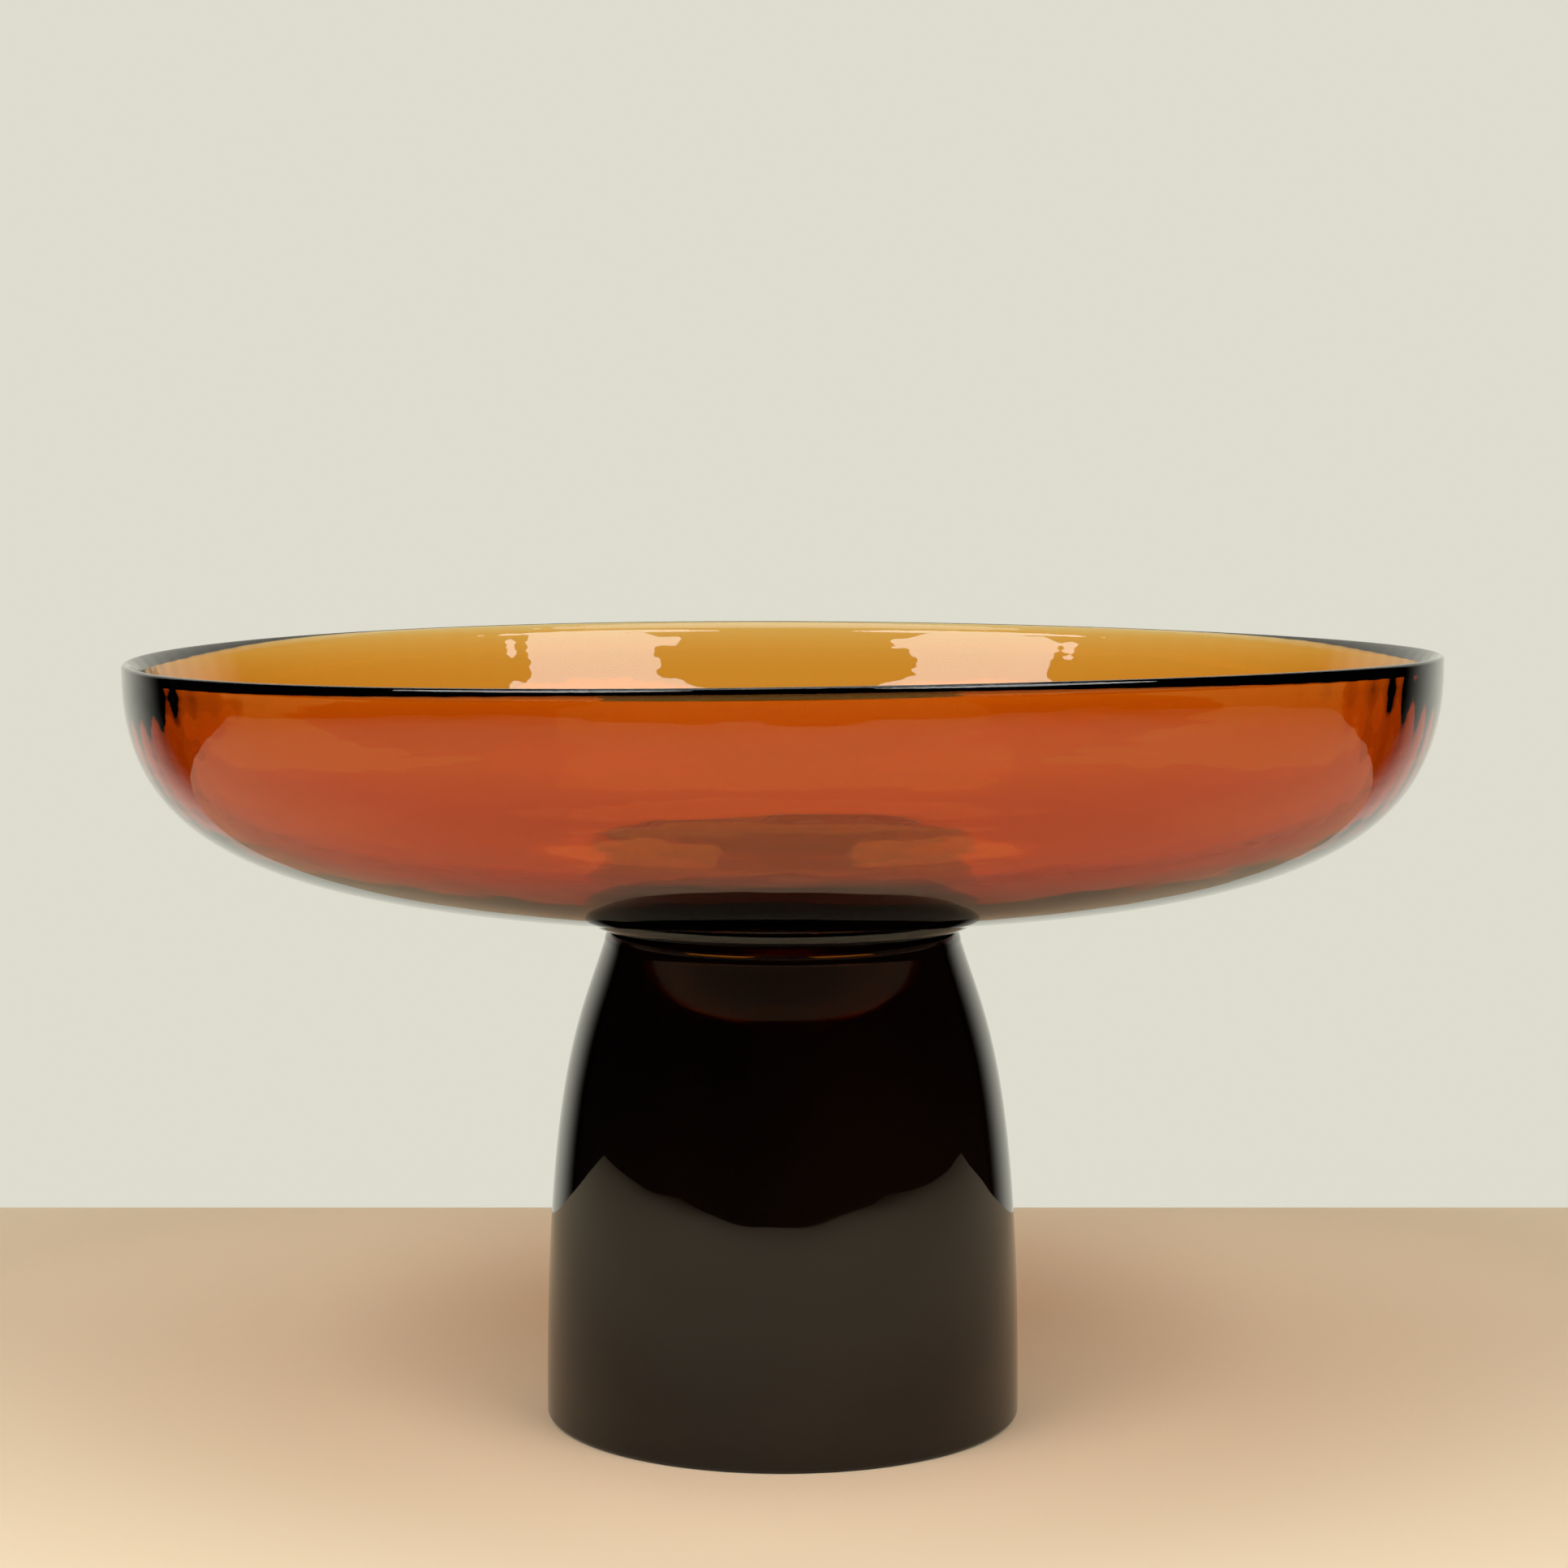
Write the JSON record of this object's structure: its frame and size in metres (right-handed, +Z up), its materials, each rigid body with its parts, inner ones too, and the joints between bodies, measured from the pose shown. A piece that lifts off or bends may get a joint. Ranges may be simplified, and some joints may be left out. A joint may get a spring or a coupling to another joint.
{
  "type": "footed glass bowl",
  "caption": "Wide shallow amber glass bowl on a rounded joining wafer and a hollow bell-shaped black glass foot; stands on a table and holds fruit or display items.",
  "frame": {"origin": "centre of the ring that the foot stands on, at table level", "axes": "+Z up along the axis that the bowl, wafer and foot are turned about; X and Y are horizontal and equal"},
  "size_m": [0.3, 0.3, 0.1784],
  "materials": {
    "amber_glass": "clear amber blown glass, glossy",
    "dark_amber_glass": "very dark amber glass, glossy",
    "black_glass": "black glass, glossy"
  },
  "bodies": {
    "root": {"bowl": "amber_glass", "joining_wafer": "dark_amber_glass", "foot": "black_glass"}
  },
  "joints": []
}
